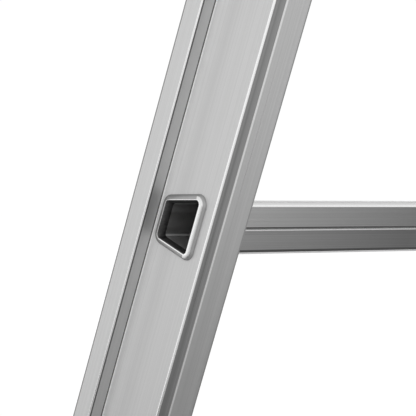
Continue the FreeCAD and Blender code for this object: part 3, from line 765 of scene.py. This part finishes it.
# %% Rails
def rail(section, side_name, finishes):
    side = SIDES[side_name]
    node = "%s_rail_%s" % (section, side_name)
    low, high = ladder_box(node)
    outside = high.x if side > 0 else low.x

    def place(corners):
        return [(outside - side * p.x, low.y + p.y) for p in rounded(corners)]

    bm = bmesh.new()
    prism(bm, [place(rail_outside() + rail_inside()), place(bead_hollow())], low.z, high.z)
    order = list(finishes)
    for face in bm.faces:
        centre = face.calc_center_median()
        face.material_index = order.index(finish_at(side * (outside - centre.x), centre.y - low.y))
    materials = list(finishes.values())
    piece = make_piece(node + "_extrusion", bm, materials, body_of(node), [node])
    pierce(piece, rung_punch(side, [rung_centre(n) for n in rungs_of(section)]))
    print(piece.name, "%.3f m" % (high.z - low.z), len(piece.data.polygons), "faces")


for section in ("base", "fly"):
    finishes = rail_finishes(section)
    for side_name in SIDES:
        rail(section, side_name, finishes)

# %% [markdown]
# Seen along the rung, the swage is a small roll of metal: it leaves the web at its widest, rounds over
# its crown and dives into a flared mouth. The loft's stations follow that roll with quarter ellipses.
# The tool leaves the outer roll a little nearer the climber than the rung's own axis.

# %% Stations along a rung
SWAGE_PROUD = 2.6 * MM
ROLL_FOOT = 3.7 * MM              # how far the roll spreads on the web, outwards of the rung's skin
CROWN_OUT = 0.4 * MM              # the flat crown runs from here
CROWN_IN = -0.2 * MM              # to here, over the bore's edge
MOUTH = -0.9 * MM                 # the flared mouth, which narrows to the bore inside the rail
RING_AHEAD = 0.7 * MM             # how much nearer the climber the outer roll lies
MOUTH_AHEAD = 1.2 * MM
ROLL_STEPS = 5
SHOULDER_FROM = 4                 # the roll's station from which its painted highlight shows
CROWN_STATIONS = 3                # stations of the mouth that still belong to the crown


def quarter_turns():
    return [math.pi / 2 * n / ROLL_STEPS for n in range(ROLL_STEPS + 1)]


def roll(web, outwards):
    """Stations (x, grow) over one swaged bead, from its foot on the web to its crown."""
    spread = ROLL_FOOT - CROWN_OUT
    return [
        (web + outwards * SWAGE_PROUD * math.sin(turn), CROWN_OUT + spread * math.cos(turn))
        for turn in quarter_turns()
    ]


def mouth():
    """Stations (x, grow) from the outer crown down into the bore."""
    dive = RUNG_WALL / 2
    return [
        (WEB_OUT + SWAGE_PROUD - dive * (1 - math.cos(turn)), MOUTH + (CROWN_IN - MOUTH) * math.cos(turn))
        for turn in quarter_turns()
    ]


def rung_stations():
    """(x, grow, groove, ahead, part) along the right half, outside then back through the bore."""
    inner_roll = list(reversed(roll(WEB_IN, -1)))
    outer_roll = roll(WEB_OUT, 1)
    groove_end = inner_roll[0][0] - SWAGE_PROUD / 2
    runs = [
        ([(0.0, 0.0), (groove_end, 0.0)], GROOVE_DEPTH, 0.0, "skin"),
        (inner_roll + [(WEB_IN, 0.0), (WEB_OUT, 0.0)], 0.0, 0.0, "slope"),
        (outer_roll[:SHOULDER_FROM], 0.0, RING_AHEAD, "slope"),
        (outer_roll[SHOULDER_FROM:], 0.0, RING_AHEAD, "shoulder"),
        (mouth()[:CROWN_STATIONS], 0.0, MOUTH_AHEAD, "crown"),
        (mouth()[CROWN_STATIONS:], 0.0, MOUTH_AHEAD, "throat"),
        ([(WEB_IN, -RUNG_WALL)], 0.0, 0.0, "throat"),
        ([(0.0, -RUNG_WALL)], 0.0, 0.0, "bore"),
    ]
    return [(x, grow, groove, ahead, part) for run, groove, ahead, part in runs for x, grow in run]


print(len(rung_stations()), "stations on half a rung")

# %% [markdown]
# Every face of the loft takes its finish from two things: the part of the rung it is on, and its step
# round the outline. The outline's points come in a fixed order, so ranges of them name the corners.
# The roll carries painted shade on its slopes and a painted highlight on its rear shoulder, the seam
# is a line of painted shade with a painted highlight on its lower edge, the tread and its rounded nose
# carry painted highlights, and the lower half of the rear wall is painted shade.

# %% Rung finishes
RUNG_FINISHES = [
    RUNG_METAL, UNDER_SHADE_METAL, TREAD_METAL, NOSE_METAL, EDGE_METAL, SEAM_METAL, SLOPE_METAL,
    SWAGE_METAL, BORE_METAL, GLINT_METAL,
]
CORNER = ARC_STEPS + 1            # points of a rounded corner; four plain points follow the first two
OUTLINE_POINTS = 4 * CORNER + 4
KEEL = 2 * CORNER                 # the flat between the dark line and the seam
SEAM = KEEL + 1
LOW_REAR = range(CORNER, 2 * CORNER)
HIGH_REAR = range(SEAM + 3, SEAM + 3 + CORNER)
LIT_STEPS = 5                     # steps of the lower rear corner with a painted reflection of the floor
NOSE_STEPS = 3                    # steps of the upper rear corner below the level tread
GLINT = range(2, 4)               # the middle of the bore's lower front corner


def paint_steps(finishes, steps, metal):
    for i in steps:
        finishes[i] = metal


def skin_finishes():
    skin = [RUNG_METAL] * OUTLINE_POINTS
    paint_steps(skin, LOW_REAR[:LIT_STEPS], TREAD_METAL)
    paint_steps(skin, LOW_REAR[LIT_STEPS:], SEAM_METAL)
    paint_steps(skin, [KEEL], UNDER_SHADE_METAL)
    paint_steps(skin, [SEAM], NOSE_METAL)
    paint_steps(skin, [SEAM + 1], SEAM_METAL)
    paint_steps(skin, HIGH_REAR[:1], EDGE_METAL)
    paint_steps(skin, HIGH_REAR[1:NOSE_STEPS], NOSE_METAL)
    paint_steps(skin, HIGH_REAR[NOSE_STEPS:], TREAD_METAL)
    return skin


def outline_finishes():
    """For each part of the rung, the finish of every step round its outline."""
    plain = {"slope": SLOPE_METAL, "crown": EDGE_METAL, "throat": SEAM_METAL}
    finishes = {part: [metal] * OUTLINE_POINTS for part, metal in plain.items()}
    finishes["skin"] = skin_finishes()
    finishes["shoulder"] = [SLOPE_METAL] * OUTLINE_POINTS
    paint_steps(finishes["shoulder"], range(LOW_REAR[0], HIGH_REAR[-1]), SWAGE_METAL)
    finishes["bore"] = [BORE_METAL] * OUTLINE_POINTS
    paint_steps(finishes["bore"], GLINT, GLINT_METAL)
    return finishes


print(OUTLINE_POINTS, "steps round a rung,", len(RUNG_FINISHES), "finishes")

# %% [markdown]
# A rung is lofted from its middle to one end, out over the roll and back through the bore, then once
# more to the other side, and the two halves are welded. The tread's faces are left flat, so that the
# level top keeps one even tone up to its rounded edge.

# %% Rungs
WELD = MM / 1000


def rung(node, finishes):
    depth, height = rung_centre(node)
    bm = bmesh.new()
    for side in SIDES.values():
        before = None
        for x, grow, groove, ahead, part in rung_stations():
            loop = rounded(rung_corners(grow, groove))
            ring = [bm.verts.new((side * x, p.x + depth - ahead, p.y + height)) for p in loop]
            if before:
                for face, metal in zip(skin_between(bm, before, ring), finishes[part]):
                    face.material_index = RUNG_FINISHES.index(metal)
            before = ring
    bmesh.ops.remove_doubles(bm, verts=bm.verts, dist=WELD)
    tube = make_piece(node + "_tube", bm, RUNG_FINISHES, body_of(node), [node])
    for face in tube.data.polygons:
        if face.material_index == RUNG_FINISHES.index(TREAD_METAL):
            face.use_smooth = False


for node in rungs_of("base") + rungs_of("fly"):
    rung(node, outline_finishes())
print(len(rungs_of("base") + rungs_of("fly")), "rungs")

# %% [markdown]
# Rivets, castings, zinc plate and plastics differ from drawn bar in one way: their marks have no
# direction. One helper covers them all. A fine grain feeds the bump, a broad cloud moves the colour
# and the roughness a little, as handling does, and the numbers decide what it is made of.

# %% Undirected finishes
HANDLING = (28, 28, 11)


def grained(name, colour, metallic, roughness, grain, contrast, spread, bump, distance):
    """A finish with fine grain (per metre) and a broad cloud of handling over it."""
    paint, shader = new_material(name, colour, roughness, metallic)
    tree = paint.node_tree
    fine = stretched_noise(tree, (grain, grain, grain))
    cloud = stretched_noise(tree, HANDLING)
    dark = [c * (1 - contrast) for c in colour]
    light = [min(1.0, c * (1 + contrast)) for c in colour]
    tone = mix_colours(tree, spread_noise(tree, cloud, 0.0, 1.0), dark, light)
    tree.links.new(tone, shader.inputs["Base Color"])
    gloss = spread_noise(tree, cloud, roughness + spread, roughness - spread)
    tree.links.new(gloss, shader.inputs["Roughness"])
    add_bump(tree, shader, fine, bump, distance)
    return paint


print("clouds of handling about %.0f mm wide" % (1 / HANDLING[0] / MM))

# %% [markdown]
# Hot zinc freezes on steel in flat crystals, called spangle, and each one takes the light a little
# differently. A Voronoi texture gives just that: cells with one random tone each.

# %% Zinc crystals
CRYSTAL = 6 * MM
CRYSTAL_DEPTH = 0.16              # how much darker the darkest crystal is


def spangle(paint):
    tree = paint.node_tree
    place = tree.nodes.new("ShaderNodeTexCoord")
    crystals = tree.nodes.new("ShaderNodeTexVoronoi")
    crystals.inputs["Scale"].default_value = 1 / CRYSTAL
    hue = tree.nodes.new("ShaderNodeSeparateColor")
    tree.links.new(place.outputs["Object"], crystals.inputs["Vector"])
    tree.links.new(crystals.outputs["Color"], hue.inputs["Color"])
    tone = map_range(tree, hue.outputs["Red"], (0.0, 1.0), (1 - CRYSTAL_DEPTH, 1.0))
    return multiply_colour(paint, tone)


print("crystals about %.0f mm wide" % (CRYSTAL / MM))

# %% [markdown]
# The columns are colour, metallic, roughness, grain per metre, contrast, spread of the roughness,
# strength of the bump and its depth in metres. Cast metal and rubber are coarse, wire and rivets are
# fine, and the plastics are dark with no metal in them.

# %% Finishes of the small parts
ZINC_PLATE = spangle(grained("zinc_plate", (0.52, 0.54, 0.56), 1.0, 0.42, 700, 0.08, 0.07, 0.15, 0.00004))
BOLT_ZINC = grained("bolt_zinc", (0.58, 0.58, 0.56), 1.0, 0.32, 900, 0.08, 0.06, 0.12, 0.00004)
SPRING_WIRE = grained("spring_wire", (0.30, 0.30, 0.31), 1.0, 0.30, 1500, 0.12, 0.06, 0.1, 0.00003)
RIVET_METAL = grained("rivet_metal", (0.66, 0.66, 0.66), 1.0, 0.34, 900, 0.06, 0.06, 0.12, 0.00004)
HOOK_CAST = grained("hook_cast", (0.40, 0.41, 0.42), 1.0, 0.50, 620, 0.12, 0.08, 0.55, 0.00016)
BLACK_PLASTIC = grained("black_plastic", (0.022, 0.022, 0.023), 0.0, 0.52, 1300, 0.25, 0.07, 0.4, 0.00010)
GREY_PLASTIC = grained("grey_plastic", (0.17, 0.175, 0.18), 0.0, 0.42, 900, 0.10, 0.05, 0.2, 0.00005)
RUBBER = grained("rubber", (0.030, 0.029, 0.028), 0.0, 0.80, 800, 0.35, 0.08, 0.5, 0.00014)
print(len(bpy.data.materials), "materials in all")

# %% [markdown]
# A CAD part with the right shape is kept. It arrives with knife edges that no bent plate or moulding
# has, so modifiers weld its loose seams and round every sharp edge by a fraction of a millimetre: it
# is that small round which catches the light.

# %% Finishing the parts that stay
LOOSE_SEAM = MM / 200
BEVEL_ABOVE = math.radians(40)
BEVEL_SEGMENTS = 2
KEPT_PARTS = [                    # family, finish, width of the rounded edges in millimetres
    ("guide_bracket", ZINC_PLATE, 0.35),
    ("keeper_bracket", ZINC_PLATE, 0.35),
    ("hook_bracket", ZINC_PLATE, 0.35),
    ("foot_bracket", ZINC_PLATE, 0.4),
    ("stabiliser_bolts", BOLT_ZINC, 0.35),
    ("stabiliser_nuts", BOLT_ZINC, 0.35),
    ("hook_pin", BOLT_ZINC, 0.4),
    ("hook_spring", SPRING_WIRE, 0),
    ("rung_hook", HOOK_CAST, 0.7),
    ("base_top_cap", BLACK_PLASTIC, 0.9),
    ("fly_top_cap", BLACK_PLASTIC, 0.9),
    ("fly_bottom_cap", BLACK_PLASTIC, 0.8),
    ("guide_liner", GREY_PLASTIC, 0.25),
    ("keeper_liner", GREY_PLASTIC, 0.25),
    ("base_slide_pad", GREY_PLASTIC, 0.4),
    ("fly_slide_pad", GREY_PLASTIC, 0.4),
    ("stabiliser_bar", BAR_METAL, 0.25),
]


def soften_edges(part, width):
    weld = part.modifiers.new("weld", "WELD")
    weld.merge_threshold = LOOSE_SEAM
    bevel = part.modifiers.new("edges", "BEVEL")
    bevel.width = width * MM
    bevel.segments = BEVEL_SEGMENTS
    bevel.limit_method = "ANGLE"
    bevel.angle_limit = BEVEL_ABOVE
    weigh_normals(part)


for family, material, width in KEPT_PARTS:
    members = [name for name in frame["nodes"] if name in (family, family + "_right", family + "_left")]
    for name in members:
        part = bpy.data.objects[name]
        for slot in part.material_slots:
            slot.material = material
        if width:
            soften_edges(part, width)
    print(family, len(members), material.name)

# %% [markdown]
# How many rivets there are, and where, is read from the CAD: one node holds a whole set of separate
# solids, so its mesh is split into islands of joined vertices, and each island's box places one rivet.

# %% Finding the rivets
def island_from(start, waiting):
    """All vertices joined to start, taken out of the set called waiting."""
    island = [start]
    border = [start]
    while border:
        vert = border.pop()
        for edge in vert.link_edges:
            other = edge.other_vert(vert)
            if other in waiting:
                waiting.discard(other)
                border.append(other)
                island.append(other)
    return island


def islands(node):
    """The box of each separate solid in a CAD node, in the ladder's own axes."""
    bm = bmesh.new()
    bm.from_mesh(bpy.data.objects[node].data)
    bm.transform(UPRIGHT)
    bmesh.ops.remove_doubles(bm, verts=bm.verts, dist=LOOSE_SEAM)
    waiting = set(bm.verts)
    boxes = []
    while waiting:
        island = island_from(waiting.pop(), waiting)
        boxes.append(box_of([v.co for v in island]))
    bm.free()
    return boxes


print("rivets", {node: len(islands(node)) for node in frame["nodes"] if node.endswith("_rivets")})

# %% [markdown]
# A blind rivet has a low dome with a small pit where its mandrel broke off, and a shank between its
# two heads. That is one profile turned about its own axis, as a lathe would turn it.

# %% Rivets
RIVET_SEGMENTS = 28
RIVET_HEAD = 1.6 * MM
RIVET_HEAD_ROUND = 4.8 * MM
RIVET_SHANK = 2.4 * MM
DOME = 0.8 * RIVET_HEAD           # the rest of the head is a plain rim
DOME_STEPS = 6
PIT_ROUND = 1.3 * MM
PIT_FLOOR = 0.8 * PIT_ROUND
PIT_DEPTH = 0.7 * MM


def rivet_head(tip, inwards):
    """Profile (x, radius) of one domed head, from the middle of its pit to its underside."""
    profile = [(tip + inwards * PIT_DEPTH, 0.0), (tip + inwards * PIT_DEPTH, PIT_FLOOR)]
    for n in range(DOME_STEPS + 1):
        turn = math.pi / 2 * n / DOME_STEPS
        radius = PIT_ROUND + (RIVET_HEAD_ROUND - PIT_ROUND) * math.sin(turn)
        profile.append((tip + inwards * DOME * (1 - math.cos(turn)), radius))
    profile.append((tip + inwards * RIVET_HEAD, RIVET_HEAD_ROUND))
    profile.append((tip + inwards * RIVET_HEAD, RIVET_SHANK))
    return profile


def turned(bm, profile, depth, height):
    """A closed solid of revolution about an axis along X through (depth, height)."""
    before = None
    for x, radius in profile:
        if radius:
            turns = [2 * math.pi * n / RIVET_SEGMENTS for n in range(RIVET_SEGMENTS)]
            spots = [(depth + radius * math.cos(t), height + radius * math.sin(t)) for t in turns]
            ring = [bm.verts.new((x, *spot)) for spot in spots]
        else:
            ring = [bm.verts.new((x, depth, height))] * RIVET_SEGMENTS
        if before:
            skin_between(bm, before, ring)
        before = ring


def rivets(node):
    bm = bmesh.new()
    for low, high in islands(node):
        middle = (low + high) / 2
        profile = rivet_head(low.x, 1) + list(reversed(rivet_head(high.x, -1)))
        turned(bm, profile, middle.y, middle.z)
    piece = make_piece(node + "_domed", bm, [RIVET_METAL], body_of(node), [node])
    print(piece.name, len(piece.data.polygons), "faces")


for node in ("guide_rivets", "foot_rivets", "keeper_rivets", "hook_rivets"):
    rivets(node)

# %% [markdown]
# The feet are rubber boots pushed over the ends of the stabiliser. Their soles are cut to the floor's
# slope, and ribs run right round them for grip. One outline does it, drawn in a little at each groove.

# %% Outline and grooves of a rubber foot
FOOT_ROUND = 4.0 * MM
SOLE_ROUND = 2.0 * MM
END_ROUND = 3.0 * MM
END_STEP = 0.3 * END_ROUND        # halfway round the closed end: this far along and this far drawn in
RIM_STEP = 0.6 * SOLE_ROUND       # how far the open end's rim is drawn in
GROOVES = 8
GROOVE_CUT = 1.3 * MM
GROOVE_MOUTH = 0.24               # half a groove's width at the surface, as a share of the pitch
GROOVE_FLOOR = 0.14
BAR_ROUND = 1.2 * MM


def boot_corners(low, high, shrink):
    """The boot's side view at full depth, drawn in by shrink: its lower edge slopes with the floor."""
    front = low.y + shrink
    rear = high.y - shrink
    return [
        (front, front * TREAD_SLOPE + shrink, SOLE_ROUND),
        (rear, rear * TREAD_SLOPE + shrink, SOLE_ROUND),
        (rear, high.z - shrink, FOOT_ROUND),
        (front, high.z - shrink, FOOT_ROUND),
    ]


def bar_corners(low, high):
    places = [(low.y, low.z), (high.y, low.z), (high.y, high.z), (low.y, high.z)]
    return [(depth, height, BAR_ROUND) for depth, height in places]


def boot_stations(length):
    """(distance from the outer end, how far drawn in) along the ribbed part of the boot."""
    stations = [(0.0, END_ROUND), (END_STEP, END_STEP), (END_ROUND, 0.0)]
    pitch = (length - 2 * END_ROUND) / (GROOVES + 1)
    for n in range(GROOVES):
        middle = END_ROUND + pitch * (n + 1)
        stations += [(middle - GROOVE_MOUTH * pitch, 0.0), (middle - GROOVE_FLOOR * pitch, GROOVE_CUT)]
        stations += [(middle + GROOVE_FLOOR * pitch, GROOVE_CUT), (middle + GROOVE_MOUTH * pitch, 0.0)]
    stations += [(length - SOLE_ROUND, 0.0), (length, RIM_STEP)]
    return stations


print(GROOVES, "grooves, %.1f mm deep" % (GROOVE_CUT / MM))

# %% [markdown]
# The boot is lofted along the bar from its closed outer end. Its open end turns inwards to the bar's
# own outline and follows it a little way in, so that the rubber is seen to hold the bar.

# %% Rubber feet
MOUTH_DEPTH = 10 * MM


def rubber_foot(side_name):
    node = "stabiliser_foot_" + side_name
    side = SIDES[side_name]
    low, high = ladder_box(node)
    outer = high.x if side > 0 else low.x
    length = high.x - low.x
    bar = bar_corners(*ladder_box("stabiliser_bar"))
    outlines = [(distance, boot_corners(low, high, shrink)) for distance, shrink in boot_stations(length)]
    outlines += [(length, bar), (length - MOUTH_DEPTH, bar)]
    bm = bmesh.new()
    rings = [
        [bm.verts.new((outer - side * distance, p.x, p.y)) for p in rounded(corners)]
        for distance, corners in outlines
    ]
    for before, after in zip(rings, rings[1:]):
        skin_between(bm, before, after)
    bm.faces.new(rings[0])
    bm.faces.new(rings[-1])
    make_piece(node + "_boot", bm, [RUBBER], body_of(node), [node])
    print(node, "%.0f mm long" % (length / MM))


for side_name in SIDES:
    rubber_foot(side_name)
